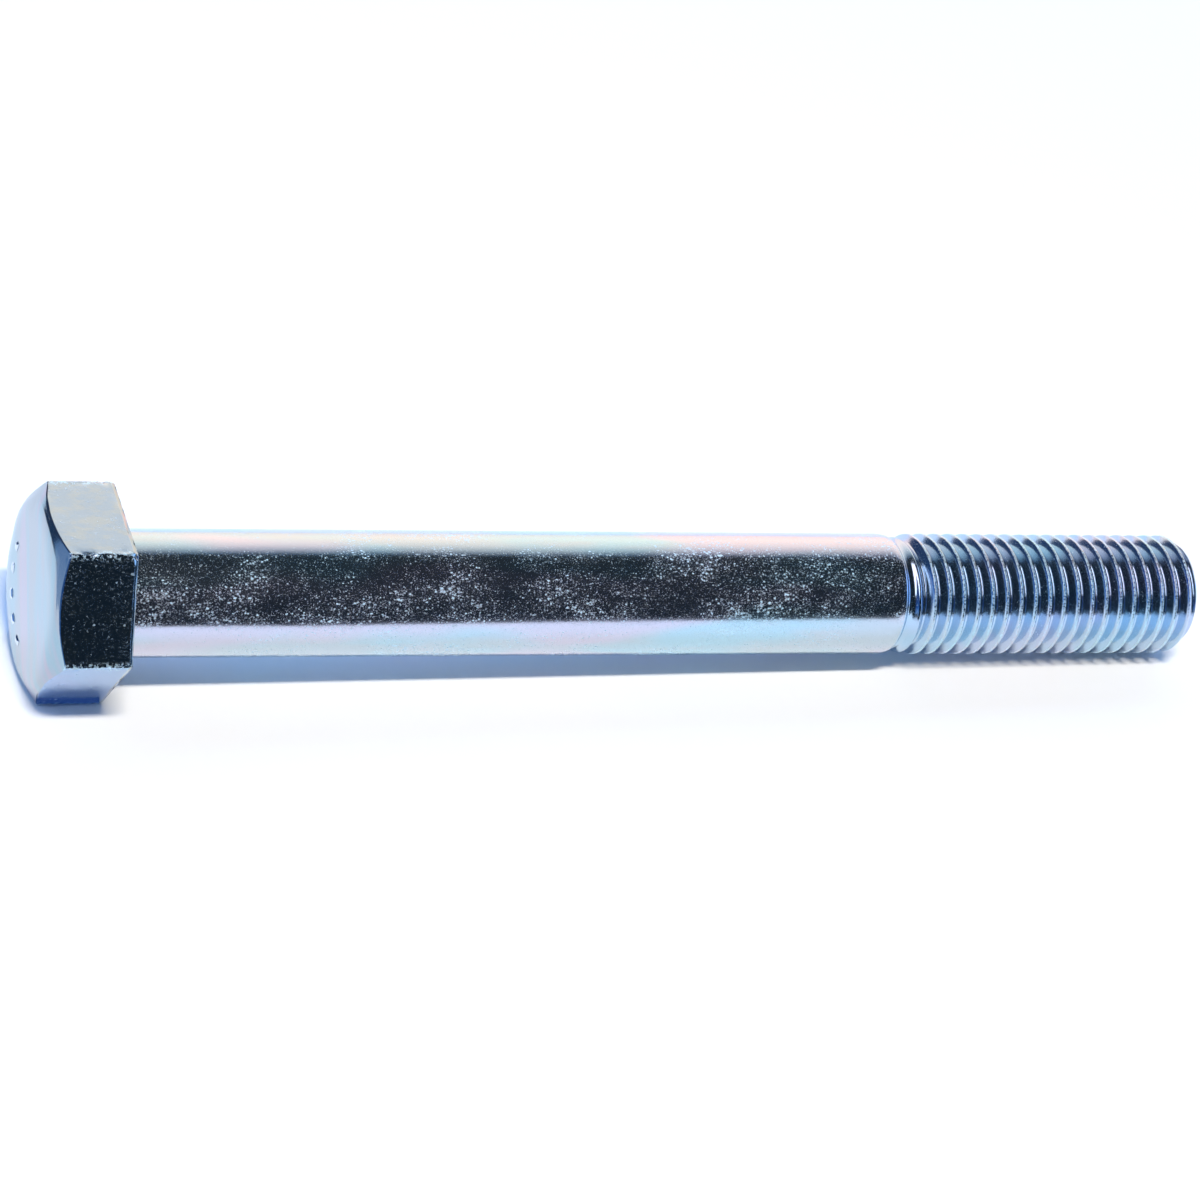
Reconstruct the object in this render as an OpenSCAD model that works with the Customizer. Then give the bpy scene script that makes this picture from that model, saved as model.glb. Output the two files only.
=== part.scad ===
// Hex bolt, lying along X: the head is on the -X side and the thread on the +X side.
// The origin is the centre of the bearing face under the head. Millimetres, +Z up.

/* [Head] */
// Distance across the flats of the hexagon
across_flats = 28.58; // [24:0.01:36]
// Height of the head, from the bearing face to the crown
head_height = 11.9; // [9:0.1:16]
// Inset of the flat crown from the flats of the hexagon
crown_inset = 1.3; // [0.4:0.1:2.5]
// Angle between the crown and the chamfer round it
chamfer_angle = 30; // [15:1:40]
// Width of the bevel round the bearing face
bearing_bevel = 0.7; // [0.2:0.1:1.5]

/* [Crown marks] */
// Number of raised dashes in the arc
mark_count = 5; // [1:1:9]
// Length of one dash
mark_length = 1.6; // [1:0.1:2.5]
// Width of one dash
mark_width = 0.7; // [0.4:0.1:1.5]
// Height of the dashes above the crown
mark_height = 0.25; // [0.1:0.05:0.5]
// Radius of the arc that the dashes lie on
mark_arc_r = 9.2; // [7:0.1:10]
// Angle from one dash to the next
mark_step = 24; // [20:1:40]
// Direction of the middle of the arc, from +Y towards +Z
mark_direction = -41; // [-180:1:180]

/* [Shank] */
// Diameter of the plain shank
shank_d = 18.9; // [15:0.05:23]
// Length of the plain shank, from the bearing face
shank_length = 125.2; // [60:0.1:200]
// Radius of the fillet between the head and the shank
fillet_r = 0.8; // [0.4:0.1:1.5]
// Depth to which the root of the shank is let into the head
root_depth = 1; // [0.5:0.1:3]

/* [Thread] */
// Outside diameter of the thread
thread_d = 19.0; // [15.5:0.05:22]
// Pitch of the thread
pitch = 2.54; // [1.5:0.01:3.2]
// Length from the neck to the point, run-out included
thread_length = 51.7; // [25:0.1:80]
// Length over which the thread fades in beside the neck
runout_length = 3.6; // [2:0.1:8]
// Length of the neck, between the shank and the thread
neck_length = 0.9; // [0.4:0.1:2]
// Length of the chamfered point
point_length = 2; // [1:0.1:4]
// Distance from the root of the thread in to the rim of the point
point_inset = 0.1; // [0.1:0.1:1]

/* [Hidden] */

// Steps round one turn of the thread, and the facets of true circles
turn_steps = 32;
round_steps = 96;
// Room by which cutting bodies pass the faces that they cut
over = 1;

corner_r = across_flats / 2 / cos(30);
crown_r = across_flats / 2 - crown_inset;
chamfer_depth = (corner_r + over - crown_r) * tan(chamfer_angle);

// A 60 degree thread form: crest flat of P/8, root flat of P/4
crest_flat = pitch / 8;
root_flat = pitch / 4;
flank = (pitch - crest_flat - root_flat) / 2;
crest_r = thread_d / 2;
root_r = crest_r - flank / tan(30);
// Rolling raises the crests as far as it sinks the roots, so the blank lies half way
blank_r = (crest_r + root_r) / 2;
rim_r = root_r - point_inset;

thread_start = shank_length + neck_length;
thread_end = thread_start + thread_length;
// The helix starts just past the neck, and its last turn ends just short of the point
end_gap = 0.05 * pitch;
helix_start = thread_start + end_gap;
form_width = 2 * flank + crest_flat;
helix_steps = floor((thread_end - 2 * end_gap - form_width - helix_start) / pitch * turn_steps);

// Turns a body that was drawn along Z so that it lies along X
module along_x() {
    rotate([0, 90, 0]) children();
}

// A prism with flats above and below once it lies along X
module hexagon_prism(length) {
    rotate([0, 0, 30]) linear_extrude(length) circle(r = corner_r, $fn = 6);
}

// The body of revolution that holds the crown and its chamfer, crown at the bottom
module crown_cone() {
    rotate_extrude($fn = round_steps)
        polygon([
            [0, 0],
            [crown_r, 0],
            [corner_r + over, chamfer_depth],
            [corner_r + over, head_height],
            [0, head_height]
        ]);
}

// A wedge that takes the edge off one flat, on the bearing side
module bevel_cut() {
    translate([across_flats / 2, 0, head_height - bearing_bevel])
        rotate([0, -45, 0])
            translate([0, -across_flats, -across_flats / 2])
                cube([across_flats, 2 * across_flats, across_flats]);
}

module hex_head() {
    color("lightsteelblue")
        translate([-head_height, 0, 0])
            along_x()
                difference() {
                    intersection() {
                        hexagon_prism(head_height);
                        crown_cone();
                    }
                    for (side = [0 : 5]) rotate([0, 0, 60 * side]) bevel_cut();
                    translate([0, 0, head_height - root_depth])
                        cylinder(h = root_depth + over, r = shank_d / 2 + fillet_r, $fn = round_steps);
                }
}

// An arc of plain dashes on the crown
module head_marks() {
    color("lightsteelblue")
        for (i = [0 : mark_count - 1])
            rotate([mark_direction + (i - (mark_count - 1) / 2) * mark_step, 0, 0])
                translate([-head_height - mark_height, mark_arc_r - mark_width / 2, -mark_length / 2])
                    cube([mark_height, mark_width, mark_length]);
}

// The foot of the shank, let into the head, and the fillet that rises from the bearing face
module shank_root() {
    color("silver")
        translate([-root_depth, 0, 0])
            along_x()
                rotate_extrude($fn = round_steps)
                    difference() {
                        square([shank_d / 2 + fillet_r, root_depth + fillet_r]);
                        translate([shank_d / 2 + fillet_r, root_depth + fillet_r])
                            circle(r = fillet_r, $fn = round_steps);
                    }
}

module shank() {
    color("silver")
        translate([fillet_r, 0, 0])
            along_x()
                cylinder(h = shank_length - fillet_r, d = shank_d, $fn = round_steps);
}

module neck() {
    color("silver")
        translate([shank_length, 0, 0])
            along_x()
                cylinder(h = neck_length, r1 = shank_d / 2, r2 = blank_r, $fn = round_steps);
}

// Part of the full thread height at a place along the axis: none at the neck, all past the run-out
function thread_share(x) = min(1, max(0, (x - helix_start) / runout_length));

// Radius of the point's cone at a place along the axis
function point_r(x) = rim_r + (crest_r - rim_r) * (thread_end - x) / point_length;

// The four corners of the thread form, as [distance along the axis, full radius]
form = [[0, root_r], [flank, crest_r], [flank + crest_flat, crest_r], [form_width, root_r]];
foot = len(form) - 1;

// A point at a radius and an angle round the X axis
function on_ring(x, r, turn) = [x, -r * sin(turn), r * cos(turn)];

// One corner of the thread form, after so many steps along the helix
function helix_point(step, corner) =
    let (
        start = helix_start + pitch * step / turn_steps,
        x = start + form[corner][0],
        r = blank_r + (form[corner][1] - blank_r) * thread_share(start)
    )
    on_ring(x, min(r, point_r(x)), 360 * step / turn_steps);

// The points are the helix's, then those of a ring at each end
start_ring = (helix_steps + 1) * len(form);
end_ring = start_ring + turn_steps;
function on_helix(step, corner) = step * len(form) + corner;
function on_start(step) = start_ring + step % turn_steps;
function on_end(step) = end_ring + step % turn_steps;

// The two triangles of a four-cornered patch
function patch(a, b, c, d) = [[a, c, b], [a, d, c]];

module thread() {
    last_turn = helix_steps - turn_steps;
    points = [
        for (step = [0 : helix_steps], corner = [0 : foot]) helix_point(step, corner),
        for (step = [1 : turn_steps]) on_ring(thread_start, blank_r, 360 * (step - 1) / turn_steps),
        for (step = [1 : turn_steps]) on_ring(thread_end, rim_r, 360 * (last_turn + step - 1) / turn_steps)
    ];
    // Flanks and crests, then the root between one turn and the next
    ridge = [
        for (step = [0 : helix_steps - 1], corner = [0 : foot - 1])
            each patch(
                on_helix(step, corner), on_helix(step + 1, corner),
                on_helix(step + 1, corner + 1), on_helix(step, corner + 1)
            )
    ];
    root = [
        for (step = [0 : last_turn - 1])
            each patch(
                on_helix(step, foot), on_helix(step + 1, foot),
                on_helix(step + 1 + turn_steps, 0), on_helix(step + turn_steps, 0)
            )
    ];
    // The first turn out to the neck, and the last turn out to the rim of the point
    start_side = [
        for (step = [0 : turn_steps - 1])
            each patch(on_start(step), on_start(step + 1), on_helix(step + 1, 0), on_helix(step, 0))
    ];
    end_side = [
        for (step = [0 : turn_steps - 1])
            each patch(
                on_helix(last_turn + step, foot), on_helix(last_turn + step + 1, foot),
                on_end(step + 1), on_end(step)
            )
    ];
    // The small flat steps in which the ridge begins and ends
    start_step = [
        [on_helix(turn_steps, 0), on_helix(0, 0), on_start(0)],
        for (corner = [0 : foot - 1]) [on_helix(turn_steps, 0), on_helix(0, corner + 1), on_helix(0, corner)]
    ];
    end_step = [
        for (corner = [0 : foot - 1])
            [on_helix(last_turn, foot), on_helix(helix_steps, corner), on_helix(helix_steps, corner + 1)],
        [on_helix(last_turn, foot), on_helix(helix_steps, foot), on_end(0)]
    ];
    caps = [
        [for (step = [0 : turn_steps - 1]) on_start(step)],
        [for (step = [turn_steps - 1 : -1 : 0]) on_end(step)]
    ];
    color("lightsteelblue")
        polyhedron(points, concat(ridge, root, start_side, end_side, start_step, end_step, caps));
}

hex_head();
head_marks();
shank_root();
shank();
neck();
thread();
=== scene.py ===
"""A zinc plated hex bolt: head, crown marks, shank and rolled thread on a pale studio floor."""

import math

import bmesh
import bpy
import numpy as np
from mathutils import Matrix, Vector, noise


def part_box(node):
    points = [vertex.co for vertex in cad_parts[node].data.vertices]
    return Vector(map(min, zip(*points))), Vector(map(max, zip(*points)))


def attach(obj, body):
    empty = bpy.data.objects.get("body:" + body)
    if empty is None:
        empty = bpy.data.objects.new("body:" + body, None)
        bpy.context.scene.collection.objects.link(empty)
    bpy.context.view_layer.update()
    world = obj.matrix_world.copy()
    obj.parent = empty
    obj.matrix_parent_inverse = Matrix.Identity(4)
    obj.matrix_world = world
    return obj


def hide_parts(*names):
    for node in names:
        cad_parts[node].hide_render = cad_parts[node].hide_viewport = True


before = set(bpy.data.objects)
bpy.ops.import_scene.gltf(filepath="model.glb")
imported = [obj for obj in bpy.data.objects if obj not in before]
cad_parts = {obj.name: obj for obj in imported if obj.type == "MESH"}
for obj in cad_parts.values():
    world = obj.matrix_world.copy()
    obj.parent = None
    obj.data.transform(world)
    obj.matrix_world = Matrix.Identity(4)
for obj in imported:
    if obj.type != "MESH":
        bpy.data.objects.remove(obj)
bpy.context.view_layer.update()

bl_info = {
    "name": "Hex bolt",
    "version": (1, 0, 0),
    "blender": (4, 5, 0),
    "location": "View3D > Sidebar > Hex bolt",
    "description": "Makes a zinc plated hex bolt and the studio it lies in",
    "category": "Add Mesh",
}

MM = 0.001
HEAD_LOW, HEAD_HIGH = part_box("hex_head")
MARKS_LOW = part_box("head_marks")[0]
ROOT_LOW, ROOT_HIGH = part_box("shank_root")
SHANK_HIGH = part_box("shank")[1]
NECK_LOW, NECK_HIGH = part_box("neck")
THREAD_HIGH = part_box("thread")[1]
# Vertices closer than this are one vertex
WELD = 1e-7
# Steps round the shank and round one turn of the thread
SHANK_STEPS = 144
TURN_STEPS = 96
# The shank's end is rounded off over this length, and loses this much of its radius
SHOULDER_LENGTH = 1.3 * MM
SHOULDER_DROP = 0.16 * MM
# The floor's tilt, and where along the bolt its head stands on the floor
FLOOR_TILT = math.radians(1.56)
STANDS_AT = -0.35 * MM


class HEXBOLT_PG_sizes(bpy.types.PropertyGroup):
    """Sizes of the bolt that the frame doesn't fix."""

    crown_radius: bpy.props.FloatProperty(
        name="Crown radius", description="Radius of the flat crown on the head",
        default=13.0 * MM, min=10 * MM, max=14 * MM, unit="LENGTH")
    chamfer_angle: bpy.props.FloatProperty(
        name="Chamfer angle", description="Angle between the crown and the chamfer round it",
        default=math.radians(30), min=math.radians(15), max=math.radians(40), subtype="ANGLE")
    crown_round: bpy.props.FloatProperty(
        name="Crown rounding", description="Radius between the crown and the chamfer",
        default=9 * MM, min=0.1 * MM, max=12 * MM, unit="LENGTH")
    edge_round: bpy.props.FloatProperty(
        name="Edge rounding", description="Radius of the edges of the hexagon",
        default=0.35 * MM, min=0.1 * MM, max=1 * MM, unit="LENGTH")
    bearing_bevel: bpy.props.FloatProperty(
        name="Bearing bevel", description="Length of the bevel beside the bearing face",
        default=0.6 * MM, min=0.2 * MM, max=2 * MM, unit="LENGTH")
    mark_count: bpy.props.IntProperty(
        name="Marks", description="Number of raised dashes on the crown", default=5, min=1, max=9)
    mark_radius: bpy.props.FloatProperty(
        name="Mark arc radius", description="Radius of the arc that the dashes lie on",
        default=9.2 * MM, min=7 * MM, max=10 * MM, unit="LENGTH")
    mark_step: bpy.props.FloatProperty(
        name="Mark step", description="Angle from one dash to the next",
        default=math.radians(24), min=math.radians(20), max=math.radians(40), subtype="ANGLE")
    mark_direction: bpy.props.FloatProperty(
        name="Mark direction", description="Direction of the middle dash, from +Y towards +Z",
        default=math.radians(-41), subtype="ANGLE")
    pitch: bpy.props.FloatProperty(
        name="Pitch", description="Distance from one crest of the thread to the next",
        default=2.54 * MM, min=1.5 * MM, max=3.2 * MM, unit="LENGTH")
    crest_place: bpy.props.FloatProperty(
        name="Crest place", description="Where the crest would cross the plane of the bearing face, on top",
        default=0.297 * MM, unit="LENGTH")
    runout: bpy.props.FloatProperty(
        name="Run-out", description="Length over which the thread rises to its full height",
        default=4.4 * MM, min=2 * MM, max=8 * MM, unit="LENGTH")
    point_length: bpy.props.FloatProperty(
        name="Point length", description="Length of the chamfered point",
        default=1.9 * MM, min=1 * MM, max=4 * MM, unit="LENGTH")


class HEXBOLT_PG_finish(bpy.types.PropertyGroup):
    """Colours and wear of the zinc plate, and the painted shade of its lower flats."""

    zinc: bpy.props.FloatVectorProperty(
        name="Zinc", description="Colour of the bright plate", subtype="COLOR",
        default=(0.54, 0.64, 0.72), min=0, max=1)
    blue: bpy.props.FloatVectorProperty(
        name="Blue film", description="Colour of the blue passivation", subtype="COLOR",
        default=(0.46, 0.68, 0.80), min=0, max=1)
    pink: bpy.props.FloatVectorProperty(
        name="Pink film", description="Colour of the pink bloom in the passivation", subtype="COLOR",
        default=(0.68, 0.61, 0.75), min=0, max=1)
    thread_blue: bpy.props.FloatVectorProperty(
        name="Thread film", description="Colour of the film on the flanks of the thread", subtype="COLOR",
        default=(0.42, 0.60, 0.82), min=0, max=1)
    trimmed: bpy.props.FloatVectorProperty(
        name="Trimmed flats", description="Colour of the flats of the hexagon", subtype="COLOR",
        default=(0.42, 0.55, 0.70), min=0, max=1)
    # Painted shade: the darker blue given to the flats that face down, for the shaded floor they mirror
    under: bpy.props.FloatVectorProperty(
        name="Lower flats", description="Colour of the film on the flats that face down", subtype="COLOR",
        default=(0.28, 0.42, 0.68), min=0, max=1)
    warm: bpy.props.FloatVectorProperty(
        name="Warm patches", description="Colour of the warmer patches on the flats", subtype="COLOR",
        default=(0.47, 0.57, 0.65), min=0, max=1)
    fleck: bpy.props.FloatVectorProperty(
        name="Flecks", description="Colour of the pale flecks in the plate", subtype="COLOR",
        default=(0.60, 0.86, 1.0), min=0, max=1)
    crown_tint: bpy.props.FloatVectorProperty(
        name="Crown tint", description="Tint laid over the film on the crown", subtype="COLOR",
        default=(0.75, 0.70, 0.66), min=0, max=1)
    roughness: bpy.props.FloatProperty(
        name="Roughness", description="Roughness of the clean plate", default=0.16, min=0.05, max=1)


class HEXBOLT_PG_studio(bpy.types.PropertyGroup):
    """Floor, light and camera."""

    floor: bpy.props.FloatVectorProperty(
        name="Floor", description="Colour of the floor", subtype="COLOR",
        default=(0.9, 0.9, 0.9), min=0, max=1)
    sky: bpy.props.FloatVectorProperty(
        name="Fill light", description="Colour of the light from all round", subtype="COLOR",
        default=(0.34, 0.56, 1.0), min=0, max=1)
    key: bpy.props.FloatVectorProperty(
        name="Key light", description="Colour of the lamp above", subtype="COLOR",
        default=(1.0, 0.94, 0.84), min=0, max=1)
    key_power: bpy.props.FloatProperty(
        name="Key power", description="Power of the lamp above", default=40.0, min=0, unit="POWER")
    flag: bpy.props.FloatVectorProperty(
        name="Dark screen", description="Tone of the dark screen that the metal mirrors", subtype="COLOR",
        default=(0.010, 0.018, 0.026), min=0, max=1)
    lens: bpy.props.FloatProperty(
        name="Lens", description="Focal length of the camera", default=124.21, min=20, unit="CAMERA")


class Socket:
    """A node's output that can stand in an expression."""

    def __init__(self, tree, link):
        self.tree = tree
        self.link = link

    def _math(self, operation, *values):
        return self.tree.node("ShaderNodeMath", {"operation": operation}, dict(enumerate(values)))

    def __add__(self, other):
        return self._math("ADD", self, other)

    def __sub__(self, other):
        return self._math("SUBTRACT", self, other)

    def __rsub__(self, other):
        return self._math("SUBTRACT", other, self)

    def __mul__(self, other):
        return self._math("MULTIPLY", self, other)

    def __truediv__(self, other):
        return self._math("DIVIDE", self, other)

    def __abs__(self):
        return self._math("ABSOLUTE", self)

    __radd__ = __add__
    __rmul__ = __mul__

    def clamped(self):
        return self.tree.node("ShaderNodeClamp", {}, {"Value": self})


class Tree:
    """A material's nodes, made from expressions."""

    def __init__(self, owner):
        owner.use_nodes = True
        self.nodes = owner.node_tree.nodes
        self.links = owner.node_tree.links
        self.nodes.clear()

    def node(self, kind, settings, inputs, output=0):
        """Any node: its type, its settings, and the values or links of its sockets."""
        made = self.nodes.new(kind)
        for name, value in settings.items():
            if name == "stops":
                ramp = made.color_ramp.elements
                while len(ramp) < len(value):
                    ramp.new(0.5)
                for element, (place, colour) in zip(ramp, value):
                    element.position = place
                    element.color = (*colour, 1)
            else:
                setattr(made, name, value)
        for name, value in inputs.items():
            if isinstance(value, Socket):
                self.links.new(value.link, made.inputs[name])
            else:
                made.inputs[name].default_value = value
        return Socket(self, made.outputs[output]) if made.outputs else None

    def place(self, stretch=(1, 1, 1), turn=(0, 0, 0)):
        """The place on the object in millimetres, stretched along its axes."""
        here = self.node("ShaderNodeTexCoord", {}, {}, "Object")
        return self.node("ShaderNodeMapping", {"vector_type": "TEXTURE"}, {
            "Vector": here,
            "Rotation": turn,
            "Scale": tuple(MM / s for s in stretch),
        })

    def noise(self, place, size, detail=2, roughness=0.5):
        """Noise from 0 to 1 whose features are about size millimetres across."""
        return self.node("ShaderNodeTexNoise", {"noise_dimensions": "3D"}, {
            "Vector": place, "Scale": 1 / size, "Detail": detail, "Roughness": roughness})

    def step(self, value, low, high):
        """0 below low and 1 above high, smooth between."""
        return self.node("ShaderNodeMapRange", {"interpolation_type": "SMOOTHSTEP"}, {
            "Value": value, "From Min": low, "From Max": high, "To Min": 0.0, "To Max": 1.0})

    def mix(self, mask, a, b):
        """Colour a where mask is 0, and colour b where it is 1."""
        return self.node("ShaderNodeMix", {"data_type": "RGBA"}, {
            "Factor": mask,
            6: a if isinstance(a, Socket) else (*a, 1),
            7: b if isinstance(b, Socket) else (*b, 1),
        }, 2)

    def tinted(self, colour, tint):
        """A colour multiplied by a tint."""
        return self.node("ShaderNodeMix", {"data_type": "RGBA", "blend_type": "MULTIPLY"},
                         {"Factor": 1.0, 6: colour, 7: (*tint, 1)}, 2)

    def axis(self, name):
        """One coordinate of the place on the object, in millimetres."""
        return self.node("ShaderNodeSeparateXYZ", {}, {"Vector": self.place()}, name)

    def facing(self, name):
        """One coordinate of the surface's own direction, as the piece was made."""
        normal = self.node("ShaderNodeTexCoord", {}, {}, "Normal")
        return self.node("ShaderNodeSeparateXYZ", {}, {"Vector": normal}, name)

    def off_axis(self):
        """The distance from the bolt's axis, in millimetres."""
        across = self.node("ShaderNodeVectorMath", {"operation": "MULTIPLY"},
                           {0: self.place(), 1: (0, 1, 1)})
        return self.node("ShaderNodeVectorMath", {"operation": "LENGTH"}, {0: across}, "Value")

    def bump(self, height, strength, depth):
        """The surface's direction, disturbed by a height that is depth metres where it is 1."""
        return self.node("ShaderNodeBump", {}, {"Height": height, "Strength": strength, "Distance": depth})

    def finish(self, inputs):
        """The shader and the output of a surface that only reflects."""
        shader = self.node("ShaderNodeBsdfPrincipled", {}, inputs)
        self.node("ShaderNodeOutputMaterial", {}, {"Surface": shader})

    def shine(self, colour, strength):
        """The shader and the output of a screen."""
        shader = self.node("ShaderNodeEmission", {}, {"Color": colour, "Strength": strength})
        self.node("ShaderNodeOutputMaterial", {}, {"Surface": shader})


def plate_film(tree, finish, along):
    """Bright zinc with drifting blue and pink film, in streaks along one direction."""
    drift = tree.noise(along, 9, 3, 0.55)
    bloom = tree.noise(along, 14, 2, 0.6)
    colour = tree.mix(tree.step(drift, 0.4, 0.58), finish.zinc, finish.blue)
    return tree.mix(tree.step(bloom, 0.48, 0.6) * 0.7, colour, finish.pink)


def plate_flecks(tree, size, amount):
    """Pale round flecks that gather in patches, over a fainter fine grain. 1 on a fleck."""
    patches = tree.noise(tree.place((0.55, 1, 1)), 6, 4, 0.65)
    here = tree.place((0.8, 1, 1))
    grains = tree.noise(here, 0.8 * size, 3, 0.75)
    cells = {"Vector": here, "Scale": 1 / (1.5 * size)}
    distance = tree.node("ShaderNodeTexVoronoi", {}, cells, "Distance")
    colour = tree.node("ShaderNodeTexVoronoi", {}, cells, "Color")
    reach = tree.node("ShaderNodeSeparateColor", {}, {"Color": colour}, "Red")
    shade = tree.node("ShaderNodeSeparateColor", {}, {"Color": colour}, "Green")
    crowd = (patches - 0.32).clamped() * amount
    dots = ((reach * crowd * 2.6 - distance + (grains - 0.5) * 1.5 - 0.04) * 4).clamped()
    dust = ((grains - 0.58 + crowd * 0.3) * 6).clamped()
    return (dots * (0.2 + 0.8 * shade) + dust * 0.4).clamped()


def shank_metal(finish):
    material = bpy.data.materials.new("zinc_shank")
    tree = Tree(material)
    film = plate_film(tree, finish, tree.place((0.25, 1, 1)))
    flecks = plate_flecks(tree, 0.24, 0.95)
    scratches = tree.noise(tree.place((0.12, 2.2, 2.2)), 1.6, 3, 0.7)
    scratch = tree.step(scratches, 0.66, 0.74)
    colour = tree.mix(flecks * 0.8, film, finish.fleck)
    colour = tree.mix(scratch * 0.35, colour, finish.trimmed)
    fine = tree.noise(tree.place((0.7, 1, 1)), 0.28, 2, 0.6)
    coarse = tree.noise(tree.place((0.5, 1, 1)), 1.3, 3, 0.55)
    height = fine * 0.35 + coarse + flecks * 0.25 - scratch * 0.3
    normal = tree.bump(height, 0.5, 0.02 * MM)
    tree.finish({
        "Base Color": colour,
        "Roughness": finish.roughness + 0.5 * flecks + 0.1 * scratch,
        "Metallic": 1 - 0.75 * flecks,
        "Normal": normal,
    })
    return material


def head_metal(finish):
    material = bpy.data.materials.new("zinc_head")
    tree = Tree(material)
    # Streaks on the crown run up its face, across the direction from which it is seen
    streaks = tree.place((1, 2.6, 0.35), (math.radians(-41), 0, 0))
    film = plate_film(tree, finish, streaks)
    # The sides of the hexagon are trimmed and scaled; the crown and its chamfer are smooth
    side = 1 - tree.step(abs(tree.facing("X")), 0.15, 0.4)
    flecks = plate_flecks(tree, 0.4, 0.7)
    scale = tree.noise(tree.place(), 1.1, 4, 0.65)
    # The flats that face down get a darker, bluer colour: painted shade, standing in for the shaded floor
    # they mirror. The film is uneven everywhere
    under = 1 - tree.step(tree.facing("Z"), -0.45, 0.3)
    trimmed = tree.mix(tree.step(tree.noise(streaks, 3, 3, 0.6), 0.4, 0.65), finish.trimmed, finish.warm)
    trimmed = tree.mix(under, trimmed, film)
    trimmed = tree.mix(under * 0.8, trimmed, finish.under)
    # The corners between the flats are rubbed, and so are the tops of the marks
    corner = tree.step(tree.off_axis(), HEAD_HIGH.y / MM - 0.6, HEAD_HIGH.y / MM - 0.25)
    raised = 1 - tree.step(tree.axis("X"), HEAD_LOW.x / MM - 0.06, HEAD_LOW.x / MM - 0.02)
    chips = tree.step(tree.noise(tree.place(), 0.5, 3, 0.7), 0.5, 0.58)
    rubbed = (corner * chips * 0.75 + raised).clamped()
    base = tree.mix(side, tree.tinted(film, finish.crown_tint), trimmed)
    colour = tree.mix((flecks * side * 0.35 + rubbed * 0.85).clamped(), base, finish.fleck)
    fine = tree.noise(tree.place(), 0.25, 2, 0.6)
    height = scale * side + fine * 0.25 + flecks * side * 0.3
    normal = tree.bump(height, 0.5, 0.03 * MM)
    tree.finish({
        "Base Color": colour,
        "Roughness": finish.roughness - 0.03 * side + 0.3 * flecks * side + 0.25 * rubbed,
        "Metallic": 1 - 0.35 * flecks * side - 0.55 * rubbed,
        "Normal": normal,
    })
    return material


def thread_metal(finish):
    material = bpy.data.materials.new("zinc_thread")
    tree = Tree(material)
    film = plate_film(tree, finish, tree.place())
    # The film is deeper on the flanks, and rubbed pale on the crests
    here = tree.place()
    crest = tree.step(tree.off_axis(), THREAD_HIGH.z / MM - 0.16, THREAD_HIGH.z / MM - 0.06)
    film = tree.mix(0.55 - crest * 0.55, film, finish.thread_blue)
    flecks = plate_flecks(tree, 0.3, 0.45)
    rubbed = crest * tree.step(tree.noise(here, 0.3, 3, 0.75), 0.44, 0.56)
    colour = tree.mix((flecks * 0.5 + rubbed * 0.6).clamped(), film, finish.fleck)
    fine = tree.noise(here, 0.3, 2, 0.6)
    normal = tree.bump(fine + flecks * 0.3, 0.35, 0.02 * MM)
    tree.finish({
        "Base Color": colour,
        "Roughness": finish.roughness + 0.3 * flecks + 0.3 * rubbed,
        "Metallic": 1 - 0.2 * flecks - 0.3 * rubbed,
        "Normal": normal,
    })
    return material


def floor_paper(studio):
    material = bpy.data.materials.new("floor_paper")
    tree = Tree(material)
    grain = tree.noise(tree.place(), 2, 2, 0.5)
    pale = tuple(min(1, c * 1.01) for c in studio.floor)
    tree.finish({
        "Base Color": tree.mix(grain, tuple(studio.floor), pale),
        "Roughness": 0.9,
        "Specular IOR Level": 0.0,
    })
    return material


def glow(name, colour, strength):
    """A plain screen that shines with one colour."""
    material = bpy.data.materials.new(name)
    tree = Tree(material)
    tree.shine((*colour, 1), strength)
    return material


def fading_glow(name, top, strength, stops):
    """A screen whose glow changes with height, from the floor to its top edge."""
    material = bpy.data.materials.new(name)
    tree = Tree(material)
    here = tree.node("ShaderNodeTexCoord", {}, {}, "Object")
    height = tree.node("ShaderNodeSeparateXYZ", {}, {"Vector": here}, "Z")
    tree.shine(tree.node("ShaderNodeValToRGB", {"stops": stops}, {"Fac": height / top}), strength)
    return material


def rounded_path(corners, radii, straight_steps, round_steps):
    """Points along straight lines with rounded corners, closest together near the corners."""
    # A rounding takes no more than this share of a line
    most = 0.45
    corners = [np.array(c, float) for c in corners]
    starts, ends = [corners[0]], []
    arcs = []
    for before, corner, after, radius in zip(corners, corners[1:], corners[2:], radii):
        into, out = corner - before, after - corner
        length_in, length_out = np.linalg.norm(into), np.linalg.norm(out)
        into, out = into / length_in, out / length_out
        turn = math.acos(max(-1, min(1, float(into @ out))))
        reach = radius * math.tan(turn / 2)
        a = corner - into * min(reach, most * length_in)
        b = corner + out * min(reach, most * length_out)
        s = np.linspace(0, 1, round_steps + 1)[:, None]
        arcs.append((1 - s) ** 2 * a + 2 * s * (1 - s) * corner + s ** 2 * b)
        ends.append(a)
        starts.append(b)
    ends.append(corners[-1])
    s = (1 - np.cos(np.linspace(0, math.pi, straight_steps + 1)[:, None])) / 2
    path = []
    for i, (a, b) in enumerate(zip(starts, ends)):
        path.append(a + (b - a) * s)
        if i < len(arcs):
            path.append(arcs[i][1:-1])
    return np.concatenate(path)


def around_faces(steps):
    """Four-cornered faces between one ring of points and the next."""
    return [(i, (i + 1) % steps, steps + (i + 1) % steps, steps + i) for i in range(steps)]


def skin(rings):
    """Four-cornered faces between rings of points, each closed on itself."""
    count, steps = rings.shape[:2]
    band = around_faces(steps)
    return [tuple(ring * steps + i for i in face) for ring in range(count - 1) for face in band]


def unevenness(points, size, seed):
    """Smooth noise from about -1 to 1 at each point, with features about size metres across."""
    shift = Vector((seed, 2.7 * seed, -1.3 * seed))
    flat = points.reshape(-1, 3)
    values = [noise.noise(Vector(p) / size + shift) for p in flat]
    return np.array(values).reshape(points.shape[:-1])


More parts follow.
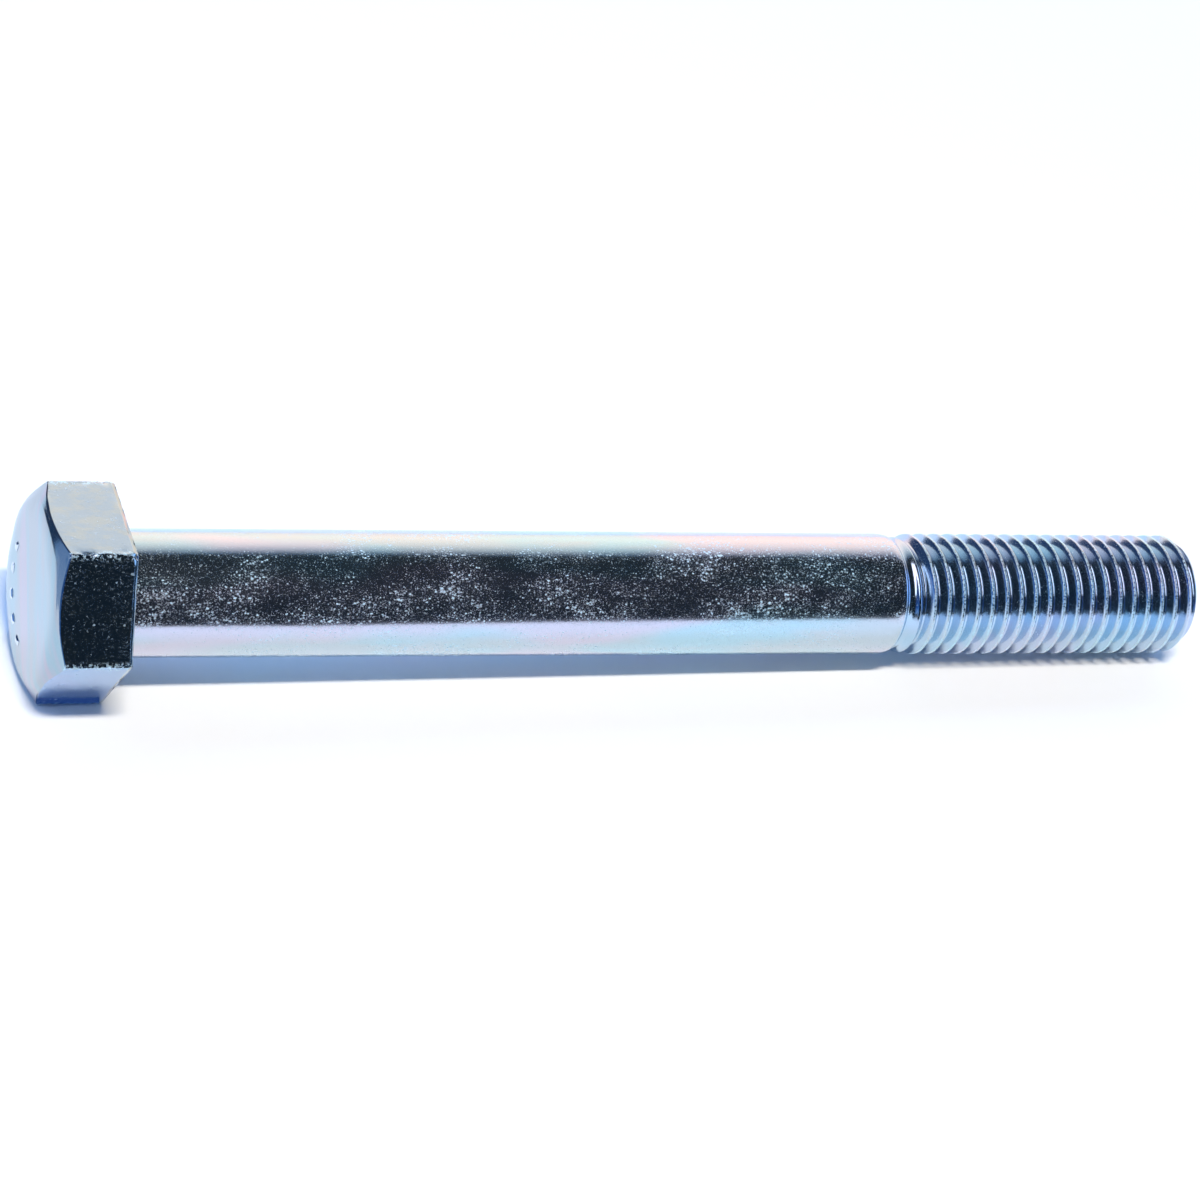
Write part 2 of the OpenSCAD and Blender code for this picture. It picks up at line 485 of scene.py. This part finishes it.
def make_piece(name, points, faces, material, slot, *nodes):
    """A closed piece that rides on the bolt and stands for CAD nodes."""
    mesh = bpy.data.meshes.new(name)
    mesh.from_pydata(points.reshape(-1, 3).tolist(), [], faces)
    shape = bmesh.new()
    shape.from_mesh(mesh)
    bmesh.ops.remove_doubles(shape, verts=shape.verts, dist=WELD)
    bmesh.ops.dissolve_degenerate(shape, edges=shape.edges, dist=WELD)
    bmesh.ops.recalc_face_normals(shape, faces=shape.faces)
    if not all(edge.is_manifold for edge in shape.edges):
        raise RuntimeError(f"{name} isn't closed")
    for face in shape.faces:
        face.smooth = True
    shape.to_mesh(mesh)
    shape.free()
    mesh.set_sharp_from_angle(angle=math.radians(40))
    piece = bpy.data.objects.new(name, mesh)
    bpy.context.scene.collection.objects.link(piece)
    piece.data.materials.append(material)
    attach(piece, "root")
    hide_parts(*nodes)
    return piece


def on_axis(x, radius, angle):
    """Points at a radius and an angle from +Y towards +Z, along the X axis."""
    x, radius, angle = np.broadcast_arrays(x, radius, angle)
    return np.stack([x, radius * np.cos(angle), radius * np.sin(angle)], -1)


def eased(share):
    """A share held between 0 and 1, with a smooth start and end."""
    share = np.clip(share, 0, 1)
    return share * share * (3 - 2 * share)


def lower_of(a, b, blend):
    """The smaller of two heights, blended where they cross."""
    share = np.clip(0.5 + (a - b) / (2 * blend), 0, 1)
    return a * (1 - share) + b * share - blend * share * (1 - share)


def nearness(distance, width):
    """1 at no distance, fading over a width."""
    return np.exp(-(distance / width) ** 2)


class HEXBOLT_OT_head(bpy.types.Operator):
    """Make the forged head, with its chamfered crown, rounded edges and small nicks"""

    bl_idname = "hexbolt.make_head"
    bl_label = "Make the head"

    def execute(self, context):
        sizes = context.scene.hexbolt_sizes
        apothem = HEAD_HIGH.z
        corner = apothem / math.cos(math.radians(30))
        outline = [(corner * math.cos(math.radians(a)), corner * math.sin(math.radians(a)))
                   for a in range(0, 360, 60)]
        middle = (apothem * math.cos(math.radians(-30)), apothem * math.sin(math.radians(-30)))
        corner_round = sizes.edge_round * 1.6
        ring = rounded_path([middle, *outline, middle], [corner_round] * 6, 16, 6)[:-1]
        angle = np.arctan2(ring[:, 1], ring[:, 0])
        reach = np.hypot(ring[:, 0], ring[:, 1])
        crown_x, root_x = HEAD_LOW.x, ROOT_LOW.x
        slope = math.tan(sizes.chamfer_angle)
        # The bevel goes in by this share of its length
        bevel_share = 0.35
        bearing_round = 0.15 * MM
        columns = []
        for r in reach:
            inner = r * (1 - bevel_share * sizes.bearing_bevel / apothem)
            columns.append(rounded_path(
                [(crown_x, 0), (crown_x, sizes.crown_radius),
                 (crown_x + (r - sizes.crown_radius) * slope, r),
                 (-sizes.bearing_bevel, r), (0, inner),
                 (0, ROOT_HIGH.y), (root_x, ROOT_HIGH.y), (root_x, 0)],
                [sizes.crown_round, sizes.edge_round, sizes.edge_round, bearing_round, 0, 0], 24, 6))
        profile = np.array(columns)
        x, r = profile[:, :, 0].T, profile[:, :, 1].T
        points = on_axis(x, r, angle)
        # Forging leaves the sides slightly wavy
        outside = (r > sizes.crown_radius) & (x < 0)
        wave_depth = 0.03 * MM
        wave = unevenness(points, 7 * MM, 3)
        # Trimming and handling leave nicks along the edges of the hexagon
        edge_width = 0.3 * MM
        base_width = 0.5 * MM
        nick_depth = 0.55 * MM
        chamfer_end = crown_x + (reach - sizes.crown_radius) * slope
        near_top = 0.5 * nearness(x - chamfer_end, edge_width)
        near_base = nearness(x + 0.3 * sizes.bearing_bevel, base_width)
        near_corner = nearness(reach - reach.max(), edge_width) * (x > chamfer_end)
        nick = np.clip(unevenness(points, 0.8 * MM, 11) - 0.15, 0, 1)
        worn = np.maximum(np.maximum(near_top, near_base), near_corner)
        sink = outside * (wave_depth * (1 + wave) + nick_depth * nick * worn)
        points = points - on_axis(0, 1, angle) * sink[..., None]
        make_piece("bolt_head", points, skin(points), head_metal(context.scene.hexbolt_finish),
                   "zinc_head", "hex_head")
        return {"FINISHED"}


class HEXBOLT_OT_marks(bpy.types.Operator):
    """Make the arc of plain raised dashes on the crown"""

    bl_idname = "hexbolt.make_marks"
    bl_label = "Make the crown marks"

    def execute(self, context):
        sizes = context.scene.hexbolt_sizes
        material = bpy.data.materials["zinc_head"]
        height = HEAD_LOW.x - MARKS_LOW.x
        width = 1.0 * MM
        length = 1.7 * MM
        # The top of a dash is drawn in towards its centre by this share
        taper = 0.5
        rounding = 0.08 * MM
        shape = bmesh.new()
        for i in range(sizes.mark_count):
            turn = sizes.mark_direction + (i - (sizes.mark_count - 1) / 2) * sizes.mark_step
            place = (Matrix.Rotation(turn, 4, "X")
                     @ Matrix.Translation((HEAD_LOW.x - height / 2, sizes.mark_radius, 0))
                     @ Matrix.Diagonal((height, width, length, 1)))
            made = bmesh.ops.create_cube(shape, size=1, matrix=place)
            top = [v for v in made["verts"] if (place.inverted() @ v.co).x < 0]
            centre = sum((v.co for v in top), Vector()) / len(top)
            for v in top:
                v.co += (centre - v.co) * taper
        bmesh.ops.bevel(shape, geom=list(shape.edges), offset=rounding, segments=3, affect="EDGES",
                        profile=0.6)
        points = np.array([v.co for v in shape.verts])
        shape.verts.index_update()
        faces = [tuple(v.index for v in f.verts) for f in shape.faces]
        shape.free()
        make_piece("crown_marks", points, faces, material, "zinc_head", "head_marks")
        return {"FINISHED"}


class HEXBOLT_OT_shank(bpy.types.Operator):
    """Make the plain shank, with the fillet under the head and its soft shoulder"""

    bl_idname = "hexbolt.make_shank"
    bl_label = "Make the shank"

    def execute(self, context):
        radius, foot = SHANK_HIGH.y, ROOT_HIGH.y
        fillet = ROOT_HIGH.x
        arc = np.linspace(0, math.pi / 2, 9)
        end = SHANK_HIGH.x
        shoulder = np.linspace(0, 1, 7)
        body_rings = 129
        x = np.concatenate([
            [ROOT_LOW.x, ROOT_LOW.x, -0.02 * MM],
            fillet * (1 - np.cos(arc)),
            np.linspace(fillet, end - SHOULDER_LENGTH, body_rings + 1)[1:],
            end - SHOULDER_LENGTH * (1 - shoulder[1:]),
            [end],
        ])
        r = np.concatenate([
            [0, foot, foot],
            foot - fillet * np.sin(arc),
            np.full(body_rings, radius),
            radius - SHOULDER_DROP * shoulder[1:] ** 2,
            [0],
        ])
        angle = np.linspace(0, 2 * math.pi, SHANK_STEPS, endpoint=False)
        points = on_axis(x[:, None], r[:, None], angle)
        # Drawing and plating leave the surface slightly uneven
        inside = (x > fillet) & (x < end - 0.2 * MM)
        depth = 0.012 * MM
        sink = depth * (1 + unevenness(points * (0.35, 1, 1), 3.5 * MM, 5)) * inside[:, None]
        points = points - on_axis(0, 1, angle) * sink[..., None]
        make_piece("bolt_shank", points, skin(points), shank_metal(context.scene.hexbolt_finish),
                   "zinc_shank", "shank_root", "shank")
        return {"FINISHED"}


def thread_rows(pitch, crest_flat, root_round):
    """Places across one turn of the thread, from crest to crest, closest where it bends."""
    half = pitch / 2
    crest = crest_flat / 2
    root = half - root_round * math.cos(math.radians(30))
    side = np.concatenate([
        [0, crest * 0.75, crest, crest + 0.03 * MM],
        np.linspace(crest + 0.09 * MM, root, 7),
        np.linspace(root, half, 6)[1:],
    ])
    return np.concatenate([side[:-1], (pitch - side[::-1])[:-1]])


class HEXBOLT_OT_thread(bpy.types.Operator):
    """Make the neck and the rolled thread, as one right-hand helix that runs out at the neck"""

    bl_idname = "hexbolt.make_thread"
    bl_label = "Make the thread"

    def execute(self, context):
        sizes = context.scene.hexbolt_sizes
        pitch = sizes.pitch
        crest_r = THREAD_HIGH.z
        crest_flat = pitch / 8
        root_round = 0.144 * pitch
        flank_angle = math.radians(30)
        sharp_r = crest_r - (pitch / 2 - crest_flat / 2) / math.tan(flank_angle)
        start, neck_end, end = NECK_LOW.x, NECK_HIGH.x, THREAD_HIGH.x
        # Radius of the blank that the thread is rolled from, and of the rim of the point
        blank_r = 8.78 * MM
        rim_r = 8.12 * MM
        rows = thread_rows(pitch, crest_flat, root_round)
        turns = math.ceil((end - start) / pitch) + 3
        first = math.floor((start - sizes.crest_place) / pitch - 2) * pitch + sizes.crest_place
        offsets = (np.arange(turns)[:, None] * pitch + rows).ravel() + first
        share = np.arange(TURN_STEPS) / TURN_STEPS
        x = np.clip(offsets[:, None] + share * pitch, start, end)
        # Distance from the nearest crest, and the thread form there
        across = np.mod(x - sizes.crest_place - share * pitch + pitch / 2, pitch) - pitch / 2
        down = np.abs(across) - crest_flat / 2
        flank = crest_r - down / math.tan(flank_angle)
        # Rolling leaves the flanks slightly full
        fullness = 0.05 * MM
        flank_share = np.clip(down / (0.35 * pitch), 0, 1)
        flank = flank + 4 * fullness * flank_share * (1 - flank_share)
        blend = 0.15 * MM
        form = lower_of(flank, crest_r, blend)
        from_root = pitch / 2 - np.abs(across)
        rounded = from_root < root_round * math.cos(flank_angle)
        bottom = sharp_r + 2 * root_round - np.sqrt(np.maximum(root_round ** 2 - from_root ** 2, 0))
        form = np.where(rounded, bottom, form)
        # The thread rises from the blank along the run-out, which starts on the neck
        lead = 0.3 * MM
        radius = blank_r + (form - blank_r) * eased((x - neck_end + lead) / sizes.runout)
        # The neck falls from the shank's shoulder to the blank
        shoulder_r = SHANK_HIGH.y - SHOULDER_DROP
        radius = radius + (shoulder_r - radius) * (1 - eased((x - start) / (neck_end - start)))
        # The point is a cone
        cone = rim_r + (crest_r - rim_r) * (end - x) / sizes.point_length
        radius = lower_of(radius, cone, blend)
        angle = math.pi / 2 + 2 * math.pi * share
        points = on_axis(x, radius, angle)
        # Handling leaves shallow dents, as a share of the radius
        dent_share = 0.0012
        dent = unevenness(points, 1.5 * MM, 21)
        points[..., 1:] *= (1 - dent_share * (1 + dent) * (x < end))[..., None]
        steps = TURN_STEPS
        count = len(offsets)
        faces = []
        for row in range(count - 1):
            for step in range(steps - 1):
                faces.append((row * steps + step, row * steps + step + 1,
                              (row + 1) * steps + step + 1, (row + 1) * steps + step))
        per_turn = len(rows)
        for row in range(count - 1 - per_turn):
            # The last column of one turn meets the first column of the next
            a, b = row * steps + steps - 1, (row + per_turn) * steps
            faces.append((a, b, b + steps, a + steps))
        # Both ends are closed, the far one with a ring just inside the rim
        ring_share = 0.96
        flat = points.reshape(-1, 3)
        centres = np.array([[start, 0, 0], [end, 0, 0]])
        near_centre, far_centre = len(flat), len(flat) + 1
        inner_ring = len(flat) + 2
        last_ring = (count - 1) * steps
        inner = on_axis(end, rim_r * ring_share, angle)
        flat = np.concatenate([flat, centres, inner])
        for step in range(steps):
            faces.append((near_centre, step, (step + 1) % steps))
        for step in range(steps):
            following = (step + 1) % steps
            faces.append((last_ring + step, last_ring + following,
                          inner_ring + following, inner_ring + step))
            faces.append((far_centre, inner_ring + step, inner_ring + following))
        make_piece("bolt_thread", flat, faces, thread_metal(context.scene.hexbolt_finish),
                   "zinc_thread", "neck", "thread")
        return {"FINISHED"}


def stage_piece(name, corners, faces, material, mirrored_only):
    """A flat or bent sheet of the studio. A screen is seen only in reflections."""
    mesh = bpy.data.meshes.new(name)
    mesh.from_pydata([tuple(c) for c in corners], [], faces)
    sheet = bpy.data.objects.new(name, mesh)
    bpy.context.scene.collection.objects.link(sheet)
    sheet.data.materials.append(material)
    if mirrored_only:
        sheet.visible_camera = False
        sheet.visible_diffuse = False
        sheet.visible_shadow = False
        sheet.visible_transmission = False
    return sheet


def on_floor(places, lift=0):
    """Points at a height over the floor, which tilts as far as a bolt on its side does."""
    return [(x, y, HEAD_LOW.z + lift + (x - STANDS_AT) * math.tan(FLOOR_TILT)) for x, y in places]


def flat_sheet(name, corners, material, mirrored_only=True):
    """A stage piece with one face."""
    return stage_piece(name, corners, [tuple(range(len(corners)))], material, mirrored_only)


def upright_sheet(name, start, end, low, top, material):
    """A screen that stands on a line from start to end."""
    flat_sheet(name, [(*start, low), (*end, low), (*end, top), (*start, top)], material)


def bent_sheet(name, radius, ends, bend, material):
    """A screen bent round the X axis through the angles of bend, from the camera's side."""
    points = [(x, -radius * math.cos(a), radius * math.sin(a)) for x in ends for a in bend]
    n = len(bend)
    faces = [(i, i + 1, n + i + 1, n + i) for i in range(n - 1)]
    return stage_piece(name, points, faces, material, True)


def aimed(place, right, up, back):
    """The matrix of a lamp or camera at a place, from the directions of its own axes."""
    return Matrix.Translation(place) @ Matrix((right, up, back)).transposed().to_4x4()


class HEXBOLT_OT_stage(bpy.types.Operator):
    """Make the floor, the screens that the metal mirrors, the lights and the camera"""

    bl_idname = "hexbolt.make_stage"
    bl_label = "Make the stage"

    def execute(self, context):
        studio = context.scene.hexbolt_studio
        scene = context.scene
        # The bolt lies on the edge of its head and on the rim of its thread
        reach = 3.0
        flat_sheet("floor", on_floor([(-reach, -reach), (reach, -reach), (reach, reach), (-reach, reach)]),
                   floor_paper(studio), False)
        # A dark screen bends over the bolt from the camera's side, beyond the lamp
        bend = [math.radians(a) for a in range(-8, 117, 4)]
        dark = glow("dark_screen", studio.flag, 1)
        bent_sheet("dark_screen", reach, (-3.0, 5.0), bend, dark).visible_diffuse = True
        # The table under the floor paper is as dark, from just outside the view
        apron = [(-3, -0.046), (0.04, -0.048), (0.25, -0.125), (5, -0.125), (5, -reach), (-3, -reach)]
        flat_sheet("dark_table", on_floor(apron, 0.5 * MM), dark)
        # A blue wall stands on the side of the head, pale at its foot and dark towards the back
        wall_x, wall_low, wall_top = -0.1, -0.02, 0.5
        wall_front, wall_turn, wall_back = -1, 0.05, 0.45
        upright_sheet("blue_wall", (wall_x, wall_front), (wall_x, wall_turn), wall_low, wall_top,
                      fading_glow("blue_wall", wall_top, 1.0, [
                          (0.0, (0.34, 0.52, 0.85)), (0.05, (0.08, 0.24, 0.60)),
                          (0.12, (0.022, 0.10, 0.34)), (0.4, (0.014, 0.06, 0.2))]))
        upright_sheet("blue_wall_back", (wall_x, wall_turn), (wall_x, wall_back), wall_low, wall_top,
                      glow("blue_wall_back", (0.012, 0.045, 0.12), 1))
        # The contact between the head and the floor is mirrored dark
        crown_x, bearing_x = HEAD_LOW.x, -0.5 * MM
        near_y, far_y = -9.25 * MM, -8.0 * MM
        contact = [(crown_x, near_y), (bearing_x, near_y), (bearing_x, far_y), (crown_x, far_y)]
        flat_sheet("contact_shade", on_floor(contact, 0.1 * MM),
                   glow("contact_shade", (0.03, 0.08, 0.25), 1))
        # A pale wall stands all round, for a camera that looks level
        distance, foot, height = 4, -0.3, 3
        around = [math.radians(a) for a in range(0, 360, 10)]
        points = [(distance * math.cos(a), distance * math.sin(a), z)
                  for z in (foot, height) for a in around]
        pale_wall = stage_piece("pale_wall", points, around_faces(len(around)),
                                glow("pale_wall", (0.95, 0.97, 1), 1), True)
        pale_wall.visible_camera = True
        pale_wall.visible_glossy = False
        # A pale screen stands behind the bolt, brightest low down
        screen_y, screen_top = 0.6, 1.23
        upright_sheet("pale_screen", (-2, screen_y), (4, screen_y), -0.05, screen_top,
                      fading_glow("pale_screen", screen_top, 1.75, [
                          (0.0, (0.86, 0.64, 0.56)), (0.16, (1.0, 0.79, 0.64)), (0.38, (0.76, 0.66, 0.58)),
                          (0.62, (0.42, 0.42, 0.42)), (0.85, (0.16, 0.18, 0.21)),
                          (1.0, (0.05, 0.07, 0.10))]))
        # The metal mirrors a panel that reaches back over the head, and not the lamp
        bend = [math.radians(e) for e in range(36, 101, 8)]
        bent_sheet("overhead_panel", 1.9, (-2.2, 0.08), bend, glow("overhead_panel", (1, 0.9, 0.95), 2.8))
        lamp = bpy.data.lights.new("key_light", "AREA")
        lamp.shape = "RECTANGLE"
        lamp.size, lamp.size_y = 0.6, 0.13
        lamp.energy = studio.key_power
        lamp.color = studio.key
        key = bpy.data.objects.new("key_light", lamp)
        middle = Vector((90 * MM, 0, 0))
        lean = math.radians(22)
        direction = Vector((-0.12, -math.sin(lean), math.cos(lean))).normalized()
        along = direction.cross(Vector((1, 0, 0))).normalized()
        key.matrix_world = aimed(middle + direction * 2, along.cross(direction), along, direction)
        key.visible_glossy = False
        scene.collection.objects.link(key)
        world = bpy.data.worlds.new("soft_light")
        scene.world = world
        tree = Tree(world)
        light = tree.node("ShaderNodeBackground", {}, {"Color": (*studio.sky, 1), "Strength": 2.1})
        tree.node("ShaderNodeOutputWorld", {}, {"Surface": light})
        camera = bpy.data.cameras.new("camera")
        camera.sensor_width = 36
        camera.lens = studio.lens
        camera.clip_start, camera.clip_end = 0.01, 20
        view = bpy.data.objects.new("camera", camera)
        right = Vector((0.920345, -0.294923, 0.256877))
        up = Vector((-0.000183, 0.656468, 0.754354))
        view.matrix_world = aimed((-0.169286, -0.438775, 0.380459), right, up, right.cross(up))
        scene.collection.objects.link(view)
        scene.camera = view
        scene.view_settings.view_transform = "Standard"
        scene.view_settings.look = "None"
        return {"FINISHED"}


class HEXBOLT_PT_panel(bpy.types.Panel):
    """Lists the bolt's pieces and its studio"""

    bl_idname = "HEXBOLT_PT_panel"
    bl_label = "Hex bolt"
    bl_space_type = "VIEW_3D"
    bl_region_type = "UI"
    bl_category = "Hex bolt"

    def draw(self, context):
        for operator in OPERATORS:
            self.layout.operator(operator.bl_idname)


GROUPS = (HEXBOLT_PG_sizes, HEXBOLT_PG_finish, HEXBOLT_PG_studio)
OPERATORS = (HEXBOLT_OT_head, HEXBOLT_OT_marks, HEXBOLT_OT_shank, HEXBOLT_OT_thread, HEXBOLT_OT_stage)


def register():
    for kind in (*GROUPS, *OPERATORS, HEXBOLT_PT_panel):
        bpy.utils.register_class(kind)
    bpy.types.Scene.hexbolt_sizes = bpy.props.PointerProperty(type=HEXBOLT_PG_sizes)
    bpy.types.Scene.hexbolt_finish = bpy.props.PointerProperty(type=HEXBOLT_PG_finish)
    bpy.types.Scene.hexbolt_studio = bpy.props.PointerProperty(type=HEXBOLT_PG_studio)


def unregister():
    del bpy.types.Scene.hexbolt_studio
    del bpy.types.Scene.hexbolt_finish
    del bpy.types.Scene.hexbolt_sizes
    for kind in (HEXBOLT_PT_panel, *reversed(OPERATORS), *reversed(GROUPS)):
        bpy.utils.unregister_class(kind)


def main():
    register()
    bpy.ops.hexbolt.make_head()
    bpy.ops.hexbolt.make_marks()
    bpy.ops.hexbolt.make_shank()
    bpy.ops.hexbolt.make_thread()
    bpy.ops.hexbolt.make_stage()


if __name__ == "__main__":
    main()
